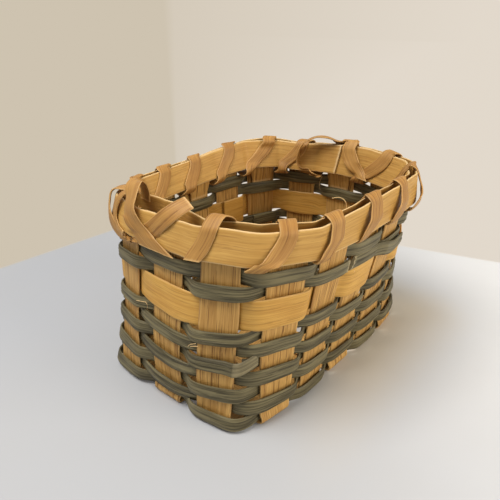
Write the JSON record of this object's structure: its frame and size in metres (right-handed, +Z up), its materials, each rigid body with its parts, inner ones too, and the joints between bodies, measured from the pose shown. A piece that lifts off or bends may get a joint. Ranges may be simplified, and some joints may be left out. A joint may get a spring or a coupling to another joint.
{
  "type": "woven wood basket",
  "caption": "Small rectangular splint basket: woven flat base and walls of natural and dark wood strips, with a lashed double rim.",
  "frame": {"origin": "on the surface that the basket stands on, under the middle of its bounding box", "axes": "+Z up; +X along the basket's long side; -Y is the long wall that faces the viewer"},
  "size_m": [0.1376, 0.1132, 0.0894],
  "materials": {
    "natural_splint": "bare straw-tan splint with fine straight grain, matt",
    "dyed_weaver": "olive grey dyed splint with paler worn streaks, matt",
    "wide_weaver": "golden wood strip with open grain, matt",
    "rim_band": "golden flat wood strip with fine dark grain flecks, matt",
    "lashing": "orange-tan peeled strip with brown streaks, slightly waxy"
  },
  "bodies": {
    "root": {"lengthwise_splint_1": "natural_splint", "lengthwise_splint_2": "natural_splint", "lengthwise_splint_3": "natural_splint", "crosswise_splint_1": "natural_splint", "crosswise_splint_2": "natural_splint", "crosswise_splint_3": "natural_splint", "crosswise_splint_4": "natural_splint", "crosswise_splint_5": "natural_splint", "weaver_row_01": "dyed_weaver", "weaver_row_02": "dyed_weaver", "weaver_row_03": "dyed_weaver", "weaver_row_04": "dyed_weaver", "weaver_row_05": "dyed_weaver", "weaver_row_06": "dyed_weaver", "weaver_row_07": "dyed_weaver", "weaver_row_08_wide": "wide_weaver", "weaver_row_09": "dyed_weaver", "weaver_row_10": "dyed_weaver", "weaver_row_11_top": "dyed_weaver", "weaver_row_09_splice": "dyed_weaver", "rim_band_outer": "rim_band", "rim_band_inner": "rim_band", "rim_lashing": "lashing", "lashing_cross_near": "lashing", "lashing_cross_far": "lashing"}
  },
  "joints": []
}
